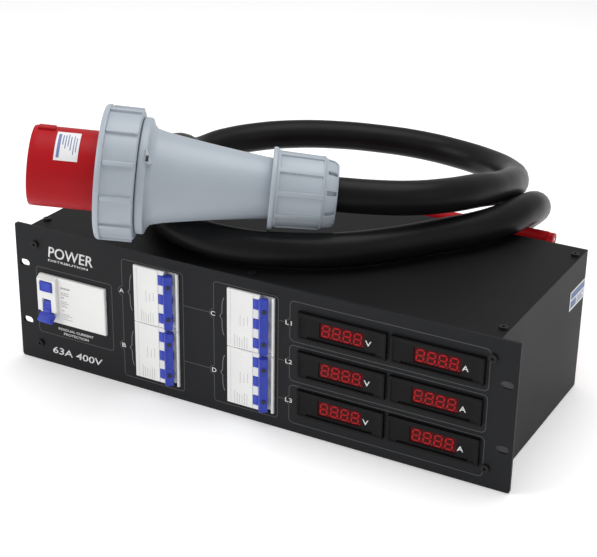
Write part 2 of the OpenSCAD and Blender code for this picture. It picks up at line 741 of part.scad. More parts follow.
// five pins: one thick, four thinner, on one circle
module plug_pins() {
    color([0.8, 0.68, 0.35]) laid() for (a = [0:4]) rotate([0, 0, 72 * a])
        translate([-pin_circle_r, 0, a == 0 ? 14 : 20])
            cylinder(d = a == 0 ? earth_pin_d : pin_d, h = flange_s + 22 - (a == 0 ? 14 : 20));
}

module plug_contact_carrier() {
    color([0.15, 0.15, 0.16]) laid() difference() {
        translate([0, 0, flange_s + slack]) cylinder(r = 30, h = 26);
        for (a = [0:4]) rotate([0, 0, 72 * a]) translate([-pin_circle_r, 0, 0])
            cylinder(d = (a == 0 ? earth_pin_d : pin_d) + slack, h = flange_s + 40);
    }
}

// shell of the plug: front flange, neck for the ring, collar, taper and thread
module plug_housing() {
    wall = 3.5;
    neck = 42;
    color([0.63, 0.66, 0.7]) laid() rotate_extrude() polygon([
        [31, flange_s + slack], [50.4, flange_s + slack], [50.4, flange_s + 5.4],
        [neck, flange_s + 5.4], [neck, collar_s], [collar_r, collar_s], [collar_r, collar_s + 6],
        [collar_r - 3, collar_s + 9], [body_r, body_s], [neck_r, nut_s - 2], [neck_r, nut_s + 2],
        [neck_r - 1.5, nut_s + 3], [neck_r - 1.5, nut_s + 26], [neck_r - 1.5 - wall, nut_s + 26],
        [neck_r - 1.5 - wall, nut_s], [body_r - wall - 1, body_s], [31, body_s - 8]]);
}

module plug_locking_ring() {
    tube_r = ring_r - 2;
    color([0.63, 0.66, 0.7]) laid() difference() {
        union() {
            translate([0, 0, ring_s]) cylinder(r = tube_r, h = ring_l);
            translate([0, 0, ring_s]) cylinder(r = ring_r, h = 4);
            for (a = [0:11]) rotate([0, 0, 30 * a + 15]) translate([tube_r - 1, -1.6, ring_s])
                cube([2.8, 3.2, ring_l]);
        }
        translate([0, 0, ring_s - 1]) cylinder(r = 50.4 + run_gap, h = ring_l + 1 - 6.6 + run_gap);
        translate([0, 0, ring_s]) cylinder(r = 42 + run_gap, h = ring_l + 1);
    }
}

module plug_gland_nut() {
    shank_s = nut_s + 4;
    claw_s = end_s - 11;
    base_r = nut_r - 3.3;
    color([0.63, 0.66, 0.7]) laid() difference() {
        union() {
            translate([0, 0, nut_s + slack]) cylinder(r = nut_r, h = 4);
            translate([0, 0, shank_s]) cylinder(r1 = base_r, r2 = base_r - 1.5, h = claw_s - shank_s);
            translate([0, 0, claw_s - eps]) cylinder(r1 = base_r - 2.5, r2 = 26, h = end_s - claw_s);
            for (a = [0:9]) rotate([0, 0, 36 * a]) translate([base_r - 3, -2.2, shank_s - 0.5])
                cube([3.8, 4.4, claw_s - shank_s]);
        }
        translate([0, 0, nut_s - 1]) cylinder(r = neck_r + slack, h = 4);
        translate([0, 0, nut_s - 1]) cylinder(r = neck_r - 1.5 + slack, h = 28);
        translate([0, 0, end_s - grip_depth - eps]) cylinder(r = cable_r + 2 * slack, h = grip_depth + 1);
    }
}

// ---- inside the case ----

block_x = -172;
block_y = 30;
block_w = 64;
wire_d = 5;
wire_xs = [for (i = [0:4]) block_x + (i - 2) * 12];

module terminal_block() {
    color([0.85, 0.85, 0.82]) difference() {
        translate([block_x - block_w / 2, block_y - 14, sheet_t]) cube([block_w, 28, 34]);
        for (x = wire_xs) {
            rod_y(wire_d / 2 + 0.6, 12, [x, block_y + 4, 22]);
            translate([x, block_y, 26]) cylinder(d = 6, h = 20);
        }
    }
}

// three ring transformers that the ammeters read
module current_transformers() {
    color([0.12, 0.2, 0.45]) for (x = [80, 125, 170]) difference() {
        union() {
            rod_y(17, 16, [x, 0, 22]);
            translate([x - 17, 0, sheet_t]) cube([34, 16, 12]);
        }
        rod_y(8, 20, [x, -2, 22]);
    }
}

module earth_stud() {
    color([0.8, 0.66, 0.32]) translate([-80, 60, sheet_t]) {
        cylinder(d = 12, h = 3, $fn = 6);
        cylinder(d = 6, h = 20);
    }
}

module supply_wires() {
    tints = [[0.35, 0.2, 0.1], [0.05, 0.05, 0.05], [0.4, 0.4, 0.42], [0.1, 0.2, 0.7], [0.3, 0.6, 0.2]];
    for (i = [0:4]) {
        gx = gland_x + (i - 2) * 5.4;
        wx = wire_xs[i];
        color(tints[i]) tube_along([
            [gx, rear_y - 13, gland_z], [gx, rear_y - 20, gland_z - 3],
            [gx * 0.9 + wx * 0.1, rear_y - 26, gland_z - 11], [gx * 0.5 + wx * 0.5, rear_y - 33, 42],
            [gx * 0.1 + wx * 0.9, rear_y - 38, 30], [wx, block_y + 27, 24],
            [wx, block_y + 20, 22], [wx, block_y + 6, 22]], wire_d / 2, 8);
    }
}

chassis_tray();
top_cover();
top_braces();
rear_panel();
front_panel();
cover_screws();
rear_screws();
panel_screws();
mounting_plate();
din_rails();
rcd_body();
rcd_toggle();
rcd_test_button();
breaker_a();
breaker_b();
breaker_c();
breaker_d();
handle_a();
handle_b();
handle_c();
handle_d();
voltmeter_l1();
voltmeter_l2();
voltmeter_l3();
ammeter_l1();
ammeter_l2();
ammeter_l3();
meter_windows();
meter_boards();
meter_clips();
outlet_1();
outlet_2();
outlet_3();
outlet_4();
outlet_lid_1();
outlet_lid_2();
outlet_lid_3();
outlet_lid_4();
hinge_pins();
outlet_contacts();
outlet_gaskets();
outlet_screws();
cable_gland();
gland_dome_nut();
gland_locknut();
supply_cable();
plug_sleeve();
plug_housing();
plug_locking_ring();
plug_gland_nut();
plug_pins();
plug_contact_carrier();
terminal_block();
current_transformers();
earth_stud();
supply_wires();
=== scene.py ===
# Portable power distribution box, dressed for a studio picture
import json
import math

import bmesh
import bpy
from mathutils import Matrix, Vector

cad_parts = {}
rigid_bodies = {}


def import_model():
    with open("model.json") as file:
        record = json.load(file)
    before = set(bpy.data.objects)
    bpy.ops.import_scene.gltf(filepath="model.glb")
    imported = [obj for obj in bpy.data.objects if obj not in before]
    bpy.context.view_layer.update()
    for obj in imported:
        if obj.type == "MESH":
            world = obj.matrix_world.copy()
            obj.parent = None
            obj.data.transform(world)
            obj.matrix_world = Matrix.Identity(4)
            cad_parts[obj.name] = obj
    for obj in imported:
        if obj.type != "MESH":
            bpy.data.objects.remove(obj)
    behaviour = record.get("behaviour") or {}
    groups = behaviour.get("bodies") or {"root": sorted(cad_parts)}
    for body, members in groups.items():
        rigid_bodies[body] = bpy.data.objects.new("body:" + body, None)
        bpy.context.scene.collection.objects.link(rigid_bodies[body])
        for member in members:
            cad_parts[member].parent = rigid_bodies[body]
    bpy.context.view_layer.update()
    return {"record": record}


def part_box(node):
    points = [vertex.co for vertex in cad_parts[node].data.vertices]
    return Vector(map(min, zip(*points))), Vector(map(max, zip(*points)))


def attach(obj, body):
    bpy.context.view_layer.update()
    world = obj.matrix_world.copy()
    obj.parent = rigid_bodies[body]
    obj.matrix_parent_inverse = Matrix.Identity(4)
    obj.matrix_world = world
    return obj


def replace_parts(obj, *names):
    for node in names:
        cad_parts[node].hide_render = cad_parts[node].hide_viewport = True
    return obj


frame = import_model()
mm = 0.001


# ---- camera, floor and light ----

camera = {
    "place": (0.5770, -1.0796, 0.6412),
    "right": (0.87641, 0.48136, 0.01439),
    "up": (-0.20851, 0.35235, 0.91234),
    "back": (0.43409, -0.80258, 0.40917),
    "lens": 90.79,          # millimetres on a 36 mm sensor
}


def addCamera():
    data = bpy.data.cameras.new("studioCamera")
    data.lens, data.sensor_width, data.sensor_fit = camera["lens"], 36, "HORIZONTAL"
    data.clip_start, data.clip_end = 0.05, 20
    view = bpy.data.objects.new("studioCamera", data)
    bpy.context.collection.objects.link(view)
    turn = Matrix((camera["right"], camera["up"], camera["back"])).transposed().to_4x4()
    view.matrix_world = Matrix.Translation(camera["place"]) @ turn
    bpy.context.scene.camera = view


studio = {
    "floorSize": 9.0,
    "skyLight": 0.5,
    "lamps": [   # name, place, aimed at, size, watts
        ("softTop", (0.1, 0.25, 1.7), (0, 0.05, 0.1), 1.5, 17),
        ("softLeft", (-1.5, -1.2, 1.1), (-0.1, -0.05, 0.1), 1.3, 16),
        ("softRight", (1.7, -0.2, 0.9), (0.1, 0, 0.1), 1.1, 2),
    ],
}


def addStudio():
    bpy.ops.mesh.primitive_plane_add(size=studio["floorSize"], location=(0, 0, -0.0005))
    floor = bpy.context.object
    floor.name = "studioFloor"
    floor.data.materials.append(finishes["studioFloor"])
    world = bpy.data.worlds.new("studioWorld")
    world.use_nodes = True
    sky = world.node_tree.nodes["Background"]
    sky.inputs["Color"].default_value = (1, 1, 1, 1)
    sky.inputs["Strength"].default_value = studio["skyLight"]
    bpy.context.scene.world = world
    for name, place, target, size, watts in studio["lamps"]:
        data = bpy.data.lights.new(name, "AREA")
        data.shape, data.size, data.energy = "DISK", size, watts
        lamp = bpy.data.objects.new(name, data)
        bpy.context.collection.objects.link(lamp)
        aim = Vector(target) - Vector(place)
        lamp.matrix_world = Matrix.Translation(place) @ aim.to_track_quat("-Z", "Y").to_matrix().to_4x4()
    bpy.context.scene.view_settings.view_transform = "Standard"


# ---- shader maths ----

class Wire:
    def __init__(self, finish, socket):
        self.finish, self.socket = finish, socket

    def math(self, operation, first, second):
        return self.finish.node("ShaderNodeMath", {"operation": operation}, {0: first, 1: second})

    def __add__(self, other): return self.math("ADD", self, other)
    def __radd__(self, other): return self.math("ADD", other, self)
    def __sub__(self, other): return self.math("SUBTRACT", self, other)
    def __rsub__(self, other): return self.math("SUBTRACT", other, self)
    def __mul__(self, other): return self.math("MULTIPLY", self, other)
    def __rmul__(self, other): return self.math("MULTIPLY", other, self)
    def __truediv__(self, other): return self.math("DIVIDE", self, other)
    def __gt__(self, other): return self.math("GREATER_THAN", self, other)


class Finish:
    def __init__(self, name):
        self.material = bpy.data.materials.new(name)
        self.material.use_nodes = True
        self.tree = self.material.node_tree
        self.shader = self.tree.nodes["Principled BSDF"]

    def put(self, socket, value):
        if isinstance(value, Wire):
            self.tree.links.new(value.socket, socket)
        elif hasattr(socket.default_value, "__len__") and len(value) == 3 and len(socket.default_value) == 4:
            socket.default_value = (*value, 1)
        else:
            socket.default_value = value

    def node(self, kind, settings=None, values=None, output=0):
        made = self.tree.nodes.new(kind)
        for key, value in (settings or {}).items():
            if key == "stops":
                ramp = made.color_ramp
                while len(ramp.elements) < len(value):
                    ramp.elements.new(0.5)
                for element, (place, colour) in zip(ramp.elements, value):
                    element.position = place
                    element.color = (*colour, 1) if len(colour) == 3 else colour
            else:
                setattr(made, key, value)
        for key, value in (values or {}).items():
            self.put(made.inputs[key], value)
        return Wire(self, made.outputs[output])

    def coords(self):
        return self.node("ShaderNodeTexCoord", output="Object")

    def noise(self, scale, detail=2.0, roughness=0.5, stretch=None):
        place = self.coords()
        if stretch:
            place = self.node("ShaderNodeMapping", None, {"Vector": place, "Scale": stretch})
        return self.node("ShaderNodeTexNoise", None,
                         {"Vector": place, "Scale": scale, "Detail": detail, "Roughness": roughness}, "Fac")

    def ramp(self, value, stops):
        return self.node("ShaderNodeValToRGB", {"stops": stops}, {"Fac": value}, "Color")

    def mix(self, factor, first, second):
        return self.node("ShaderNodeMix", {"data_type": "RGBA"}, {0: factor, 6: first, 7: second}, 2)

    def bump(self, height, strength, distance, below=None):
        values = {"Height": height, "Strength": strength, "Distance": distance}
        if below:
            values["Normal"] = below
        return self.node("ShaderNodeBump", None, values)

    def set(self, **values):
        for key, value in values.items():
            self.put(self.shader.inputs[key.replace("_", " ")], value)
        return self.material


def grey(level):
    return (level, level, level)


def coatedSteel(name, base, light, roughness, peel, peelDepth, gloss=0.2):
    # powder coat: a fine orange peel, rubbed a little lighter in places
    f = Finish(name)
    cloud = f.noise(7, 4, 0.6)
    speck = f.noise(2600, 1)
    shade = f.mix(cloud * 0.7 + speck * 0.3, base, light)
    skin = f.bump(f.noise(peel, 2, 0.55), peelDepth, 0.0004)
    return f.set(Base_Color=shade, Roughness=roughness + (cloud - 0.5) * 0.16 + (speck - 0.5) * 0.1, Normal=skin,
                 Specular_IOR_Level=gloss)


def mouldedPlastic(name, base, other, roughness, grain=1500, depth=0.12, gloss=0.5, coat=0.0):
    # injection-moulded skin: faint flow marks, a fine grain and slight handling shine
    f = Finish(name)
    flow = f.noise(22, 3, 0.55, (1, 1, 2.4))
    fine = f.noise(grain, 2, 0.5)
    rubbed = f.noise(60, 4, 0.65)
    skin = f.bump(fine, depth, 0.00025, f.bump(flow, 0.06, 0.001))
    return f.set(Base_Color=f.mix(flow * 0.8 + fine * 0.2, base, other),
                 Roughness=roughness + (rubbed - 0.5) * 0.18, Normal=skin,
                 Specular_IOR_Level=gloss, Coat_Weight=coat, Coat_Roughness=0.12)


def metalFinish(name, base, other, roughness, stretch):
    f = Finish(name)
    lines = f.noise(900, 3, 0.6, stretch)
    spots = f.noise(130, 3, 0.6)
    return f.set(Base_Color=f.mix(spots, base, other), Metallic=1.0,
                 Roughness=roughness + lines * 0.16 + (spots - 0.5) * 0.12,
                 Normal=f.bump(lines, 0.08, 0.0002))


def cableRubber(name):
    # extruded jacket: long flow lines, dust in the pores and soft shine where it rubs
    f = Finish(name)
    pores = f.noise(1100, 2, 0.6)
    bloom = f.noise(16, 4, 0.6)
    shade = f.mix(bloom * 0.8 + pores * 0.2, (0.0035, 0.0035, 0.0038), (0.012, 0.0122, 0.0128))
    skin = f.bump(pores, 0.1, 0.0003, f.bump(f.noise(75, 2, 0.5), 0.1, 0.0012))
    return f.set(Base_Color=shade, Roughness=0.37 + (bloom - 0.5) * 0.2 + (pores - 0.5) * 0.08, Normal=skin,
                 Specular_IOR_Level=0.11)


def floorFinish(name):
    f = Finish(name)
    return f.set(Base_Color=f.mix(f.noise(3, 2), grey(0.955), grey(0.975)), Roughness=0.75,
                 Emission_Color=grey(1) + (1,), Emission_Strength=0.2)


def glowFinish(name, base, glow, strength):
    f = Finish(name)
    tint = f.noise(300, 2)
    return f.set(Base_Color=f.mix(tint, base, grey(0.004)), Roughness=0.3, Specular_IOR_Level=0.08, Emission_Color=glow,
                 Emission_Strength=strength)


def printInk(name, base, other):
    f = Finish(name)
    return f.set(Base_Color=f.mix(f.noise(700, 2), base, other), Roughness=0.55)


finishes = {
    "studioFloor": floorFinish("studioFloor"),
    "powder_coat": coatedSteel("powderCoat", (0.0035, 0.0036, 0.004), (0.007, 0.0071, 0.0076), 0.5, 1900, 0.35, 0.14),
    "panel_paint": coatedSteel("panelPaint", (0.0062, 0.0066, 0.008), (0.0092, 0.0098, 0.0115), 0.5, 2400, 0.18),
    "zinc": metalFinish("zincSteel", (0.55, 0.56, 0.58), (0.42, 0.43, 0.46), 0.3, (1, 1, 0.2)),
    "black_screw": coatedSteel("blackedScrew", (0.006, 0.006, 0.006), (0.014, 0.014, 0.014), 0.35, 2500, 0.1),
    "white_plastic": mouldedPlastic("breakerWhite", (0.80, 0.81, 0.79), (0.86, 0.86, 0.84), 0.42),
    "blue_plastic": mouldedPlastic("handleBlue", (0.035, 0.055, 0.42), (0.055, 0.085, 0.52), 0.36, 1300, 0.08, 0.2),
    "meter_plastic": mouldedPlastic("meterBlack", (0.003, 0.003, 0.0034), (0.006, 0.006, 0.0068), 0.27, 1800, 0.05, 0.12),
    "display_red": glowFinish("displayRed", (0.05, 0.002, 0.003), (0.32, 0.012, 0.02), 0.11),
    "circuit_board": mouldedPlastic("boardGreen", (0.01, 0.09, 0.04), (0.02, 0.14, 0.06), 0.5),
    "red_plastic": mouldedPlastic("plugRed", (0.36, 0.006, 0.010), (0.42, 0.009, 0.014), 0.4, 1300, 0.14, 0.12),
    "grey_plastic": mouldedPlastic("plugGrey", (0.35, 0.395, 0.445), (0.4, 0.445, 0.495), 0.4, 1100, 0.16),
    "brass": metalFinish("contactBrass", (0.72, 0.52, 0.22), (0.6, 0.42, 0.17), 0.22, (1, 1, 0.3)),
    "black_rubber": cableRubber("cableRubber"),
    "black_plastic": mouldedPlastic("glandBlack", (0.009, 0.009, 0.0095), (0.016, 0.016, 0.017), 0.42),
    "terminal_plastic": mouldedPlastic("terminalGrey", (0.6, 0.6, 0.56), (0.68, 0.68, 0.64), 0.5),
    "transformer_blue": mouldedPlastic("transformerBlue", (0.015, 0.04, 0.16), (0.02, 0.06, 0.22), 0.45),
    "wire_insulation": mouldedPlastic("wireInsulation", (0.05, 0.05, 0.06), (0.09, 0.08, 0.07), 0.45),
    "inkWhite": printInk("inkWhite", grey(0.78), grey(0.68)),
    "inkGrey": printInk("inkGrey", grey(0.075), grey(0.055)),
    "inkDim": printInk("inkDim", grey(0.24), grey(0.19)),
    "inkFaint": printInk("inkFaint", grey(0.46), grey(0.38)),
    "paper": printInk("labelPaper", grey(0.8), grey(0.72)),
    "inkBlue": printInk("inkBlue", (0.12, 0.17, 0.36), (0.16, 0.2, 0.38)),
    "segmentLit": glowFinish("segmentLit", (0.3, 0.008, 0.01), (0.9, 0.03, 0.035), 0.27),
    # painted shade: a near-black finish standing in for the shadow inside the plug catch's hole
    "paintedHoleShade": printInk("recessShade", grey(0.012), grey(0.02)),
}
print("finishes ready")

for part in frame["record"]["subparts"]:
    cadNode = bpy.data.objects[part["node"]]
    cadNode.data.materials.clear()
    cadNode.data.materials.append(finishes[part["material_slot"]])
print("CAD nodes painted")


# ---- making pieces ----

def deselect():
    if bpy.context.object and bpy.context.object.mode != "OBJECT":
        bpy.ops.object.mode_set(mode="OBJECT")
    bpy.ops.object.select_all(action="DESELECT")


def finishPiece(piece, name, body, slot, finish=None, place=None, smooth=35):
    # bake the place into the mesh, so that the object itself sits at the origin
    piece.name = name
    piece.data.transform((place or Matrix()) @ piece.matrix_basis)
    piece.matrix_basis = Matrix()
    piece.data.materials.clear()
    piece.data.materials.append(finishes[finish or slot])
    deselect()
    piece.select_set(True)
    bpy.context.view_layer.objects.active = piece
    if smooth:
        bpy.ops.object.shade_smooth_by_angle(angle=math.radians(smooth))
    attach(piece, body)
    return piece


def openEdit():
    bpy.ops.object.mode_set(mode="EDIT")


def closeEdit():
    bpy.ops.object.mode_set(mode="OBJECT")


def pickFaces(piece, test):
    # select faces by their middle and normal, in edit mode
    closeEdit()
    for face in piece.data.polygons:
        face.select = bool(test(face.center, face.normal))
    for edge in piece.data.edges:
        edge.select = False
    for vertex in piece.data.vertices:
        vertex.select = False
    for face in piece.data.polygons:
        if face.select:
            for index in face.vertices:
                piece.data.vertices[index].select = True
    openEdit()
    bpy.ops.mesh.select_mode(type="FACE")


def bevelEdges(piece, width, segments=2, angle=35):
    rounding = piece.modifiers.new("rounding", "BEVEL")
    rounding.width, rounding.segments = width, segments
    rounding.limit_method, rounding.angle_limit = "ANGLE", math.radians(angle)
    rounding.use_clamp_overlap = True
    bpy.context.view_layer.objects.active = piece
    piece.select_set(True)
    bpy.ops.object.modifier_apply(modifier=rounding.name)


def turned(profile, sides=96):
    # pull a circle along its axis ring by ring, then join its first and last ring
    deselect()
    radius, height = profile[0]
    bpy.ops.mesh.primitive_circle_add(vertices=sides, radius=radius * mm, location=(0, 0, height * mm))
    piece = bpy.context.object
    openEdit()
    bpy.ops.mesh.select_mode(type="VERT")
    bpy.ops.mesh.select_all(action="SELECT")
    for (wasR, wasZ), (newR, newZ) in zip(profile, profile[1:]):
        bpy.ops.mesh.extrude_region_move(TRANSFORM_OT_translate={"value": (0, 0, (newZ - wasZ) * mm)})
        if newR != wasR:
            bpy.ops.transform.resize(value=(newR / wasR, newR / wasR, 1))
    bpy.ops.mesh.select_all(action="DESELECT")
    bpy.ops.mesh.select_mode(type="EDGE")
    bpy.ops.mesh.select_non_manifold()
    bpy.ops.mesh.bridge_edge_loops()
    bpy.ops.mesh.select_all(action="SELECT")
    bpy.ops.mesh.normals_make_consistent(inside=False)
    closeEdit()
    piece.data.transform(piece.matrix_basis)
    piece.matrix_basis = Matrix()
    return piece


def block(low, high, round=0.0, segments=2):
    # a slab between two corners, in millimetres, with softened edges
    deselect()
    middle = [(a + b) / 2 * mm for a, b in zip(low, high)]
    bpy.ops.mesh.primitive_cube_add(size=1, location=middle)
    piece = bpy.context.object
    piece.scale = [abs(b - a) * mm for a, b in zip(low, high)]
    bpy.ops.object.transform_apply(location=True, rotation=False, scale=True)
    if round:
        bevelEdges(piece, round * mm, segments)
    return piece


def joined(pieces):
    deselect()
    for piece in pieces:
        piece.select_set(True)
    bpy.context.view_layer.objects.active = pieces[0]
    bpy.ops.object.transform_apply(location=True, rotation=True, scale=True)
    bpy.ops.object.join()
    return pieces[0]


def angleOf(point):
    return math.degrees(math.atan2(point.y, point.x)) % 360


# ---- supply cable ----

cable = {
    "diameter": 0.030,
    "length": 1.90,
    "route": [
        (40, -23, 188), (70, -7, 186), (96, 13, 184), (116, 42, 181), (127, 80, 175), (129, 122, 164),
        (123, 166, 152), (111, 212, 139), (90, 256, 128), (58, 290, 121), (16, 308, 119), (-30, 309, 121),
        (-75, 299, 123), (-115, 279, 126), (-151, 253, 128), (-180, 225, 128), (-200, 190, 128),
        (-209, 150, 128.5), (-206, 118, 143), (-201, 98, 148.5), (-192, 72, 148.5), (-170, 28, 148), (-148, -12, 148),
        (-126, -41, 148), (-98, -64, 148), (-62, -77, 148), (-22, -78, 148), (19, -66, 148), (56, -43, 148),
        (86, -12, 148), (113, 26, 148), (136, 60, 148), (150, 94, 148), (154, 124, 146), (152, 154, 139),
        (144, 184, 127), (128, 210, 109), (105, 230, 86), (76, 246, 61), (42, 257, 38), (4, 264, 21),
        (-40, 267, 16), (-82, 260, 16), (-120, 244, 21), (-150, 222, 30), (-174, 194, 44), (-189, 162, 57),
        (-194, 147, 63), (-195, 136, 66)],
}


def addCable():
    curve = bpy.data.curves.new("supplyCableSkin", "CURVE")
    curve.dimensions, curve.resolution_u = "3D", 8
    curve.bevel_depth, curve.bevel_resolution, curve.use_fill_caps = cable["diameter"] / 2, 7, True
    line = curve.splines.new("BEZIER")
    line.bezier_points.add(len(cable["route"]) - 1)
    for knot, place in zip(line.bezier_points, cable["route"]):
        knot.co = Vector(place) * mm
        knot.handle_left_type = knot.handle_right_type = "AUTO"
    piece = bpy.data.objects.new("supplyCableSkin", curve)
    bpy.context.collection.objects.link(piece)
    curve.materials.append(finishes["black_rubber"])
    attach(piece, "case")
    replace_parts(piece, "supply_cable")


# ---- industrial plug ----

plug = {
    "tip": (-184, -143, 210),
    "yaw": 28, "dip": 5,
    "ringStart": 57.5, "ringLength": 32.5, "ringRadius": 57,
    "collarRadius": 49, "bodyStart": 100.4, "nutStart": 199.4, "nutLength": 56, "nutRadius": 35.3,
}
plugPlace = (Matrix.Translation(Vector(plug["tip"]) * mm) @ Matrix.Rotation(math.radians(plug["yaw"]), 4, "Z")
             @ Matrix.Rotation(math.radians(90 + plug["dip"]), 4, "Y"))


def addPlugSleeve():
    sleeve = turned([(30.7, 1.2), (31.4, 0.3), (32.3, 0), (33.2, 0.3), (33.6, 1.2), (33.7, 6), (33.7, 77.5),
                     (20, 77.5), (4, 77.5), (4, 70), (20, 70), (30.7, 70), (30.7, 20)])
    key = block((-35.2, -4.6, 4), (-33, 4.6, 18.5), 0.6)
    finishPiece(joined([sleeve, key]), "plugSleeveSkin", "case", "red_plastic", place=plugPlace)
    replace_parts(bpy.data.objects["plugSleeveSkin"], "plug_sleeve")


def addPlugRing():
    a, r, l = plug["ringStart"], plug["ringRadius"], plug["ringLength"]
    ring = turned([(35.2, a + 3), (35.2, a), (38, a), (44, a - 0.0), (r - 3.4, a), (r - 1.4, a + 0.6), (r - 0.2, a + 2.2),
                   (r, a + 4.6), (r - 0.4, a + 5.2), (r - 2.4, a + 5.6), (r - 2.6, a + l - 1.2), (r - 3.6, a + l), (43, a + l),
                   (42.6, a + l - 5), (51, a + l - 6.5), (51, a + 8), (37, a + 6)])

    def isRib(middle, normal):
        away = math.hypot(middle.x, middle.y)
        return away > (r - 3.2) * mm and a + 6 < middle.z / mm < a + l - 1.2 and angleOf(middle) % 30 < 3.76

    pickFaces(ring, isRib)
    bpy.ops.mesh.extrude_region_shrink_fatten(TRANSFORM_OT_shrink_fatten={"value": 2.3 * mm})
    bpy.ops.mesh.select_all(action="DESELECT")
    closeEdit()
    bevelEdges(ring, 0.55 * mm, 2, 40)
    finishPiece(ring, "plugRingSkin", "locking_ring", "grey_plastic", place=plugPlace)
    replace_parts(ring, "plug_locking_ring")


def addPlugHousing():
    b, n, c = plug["bodyStart"], plug["nutStart"], plug["collarRadius"]
    steps = [(40 - 14.3 * t + 0.9 * math.sin(math.pi * t) * -1, b + (n - b) * t) for t in (0.12, 0.25, 0.4, 0.55, 0.7, 0.85, 1.0)]
    housing = turned([(31, 79), (50, 79), (50, 83), (42, 84), (42, 90.6), (c - 1, 90.6), (c, 91.4), (c, 96.4), (c - 0.8, 97.6),
                      (c - 3.2, 98.4), (43.5, 99.4), (40.6, b + 1.6), (39.6, b + 5)] + steps
                     + [(25.2, n + 1), (24, n + 3), (24, n + 26), (20.6, n + 26), (20.6, n), (34, b), (31, b - 8)])
    bevelEdges(housing, 0.3 * mm, 2, 50)
    finishPiece(housing, "plugHousingSkin", "case", "grey_plastic", place=plugPlace)
    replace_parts(housing, "plug_housing")


def addPlugNut():
    s, l, r = plug["nutStart"], plug["nutLength"], plug["nutRadius"]
    e = s + l
    nut = turned([(26, s + 1), (r - 0.7, s + 0.3), (r, s + 1), (r, s + 3.6), (r - 0.8, s + 4.4), (33.4, s + 4.8), (33.2, s + 7),
                  (32.0, e - 13), (31.2, e - 11.4), (30, e - 10.6), (29.4, e - 9), (28.3, e - 4), (26.4, e - 0.8), (25.2, e), (16.4, e),
                  (15.4, e - 1), (15.4, e - 19), (24.4, e - 21), (24.4, s + 6)], 100)

    def isGroove(middle, normal):
        away = math.hypot(middle.x, middle.y)
        return away > 31 * mm and s + 8 < middle.z / mm < e - 13.2 and angleOf(middle) % 36 > 7.3

    def isSlot(middle, normal):
        away = math.hypot(middle.x, middle.y)
        return away > 25.3 * mm and e - 9.2 < middle.z / mm < e - 0.5 and angleOf(middle) % 36 > 28.5

    pickFaces(nut, isGroove)
    bpy.ops.mesh.extrude_region_shrink_fatten(TRANSFORM_OT_shrink_fatten={"value": -1.7 * mm})
    pickFaces(nut, isSlot)
    bpy.ops.mesh.extrude_region_shrink_fatten(TRANSFORM_OT_shrink_fatten={"value": -3.2 * mm})
    bpy.ops.mesh.select_all(action="DESELECT")
    closeEdit()
    bevelEdges(nut, 0.5 * mm, 2, 40)
    finishPiece(nut, "plugNutSkin", "gland_nut", "grey_plastic", place=plugPlace)
    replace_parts(nut, "plug_gland_nut")


addCamera()
addStudio()
addPlugSleeve()
addPlugRing()
addPlugHousing()
addPlugNut()
print("plug built")

# ---- printing on the panel ----

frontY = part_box("front_panel")[0][1] / mm       # front face of the panel, in millimetres
printing = {
    "lift": 0.06,
    "words": [   # text, left, right, bottom, top, slant
        ("POWER", -205.5, -157, 106.2, 116.6, 0.12),
        ("DISTRIBUTION", -205.8, -162.5, 102.2, 104.3, 0),
        ("RESIDUAL CURRENT", -198.2, -159.4, 36.0, 38.4, 0),
        ("PROTECTION", -192.5, -165.2, 31.8, 34.2, 0),
        ("63A 400V", -206, -150.4, 10.6, 17.4, 0.1),
        ("A", -129.3, -124.6, 89.6, 93.6, 0), ("B", -128.2, -124.2, 36.6, 40.6, 0),
        ("C", -35.4, -31.0, 90.1, 94.3, 0), ("D", -34.6, -30.2, 36.4, 40.5, 0),
        ("L1", 37.0, 43.0, 99.3, 103.3, 0), ("L2", 37.3, 43.8, 63.5, 67.5, 0), ("L3", 37.5, 44.2, 27.2, 31.2, 0),
    ],
}


def printedWord(name, text, left, right, bottom, top, slant, y, body, slot, ink="inkWhite", depth=0.08):
    deselect()
    bpy.ops.object.text_add(location=(0, 0, 0))
    word = bpy.context.object
    word.data.body, word.data.shear, word.data.offset = text, slant, 0.012
    word.data.resolution_u = 4
    bpy.ops.object.convert(target="MESH")
    word = bpy.context.object
    across = [v.co.x for v in word.data.vertices]
    upward = [v.co.y for v in word.data.vertices]
    wide, high = max(across) - min(across), max(upward) - min(upward)
    fit = (Matrix.Translation((left * mm, y * mm, bottom * mm)) @ Matrix.Rotation(math.radians(90), 4, "X")
           @ Matrix.Diagonal(((right - left) * mm / wide, (top - bottom) * mm / high, 1, 1))
           @ Matrix.Translation((-min(across), -min(upward), 0)))
    openEdit()
    bpy.ops.mesh.select_all(action="SELECT")
    bpy.ops.mesh.remove_doubles(threshold=0.0001)
    bpy.ops.mesh.extrude_region_move(TRANSFORM_OT_translate={"value": (0, 0, depth * mm)})
    bpy.ops.mesh.select_all(action="SELECT")
    bpy.ops.mesh.normals_make_consistent(inside=False)
    closeEdit()
    return finishPiece(word, name, body, slot, ink, fit, smooth=0)


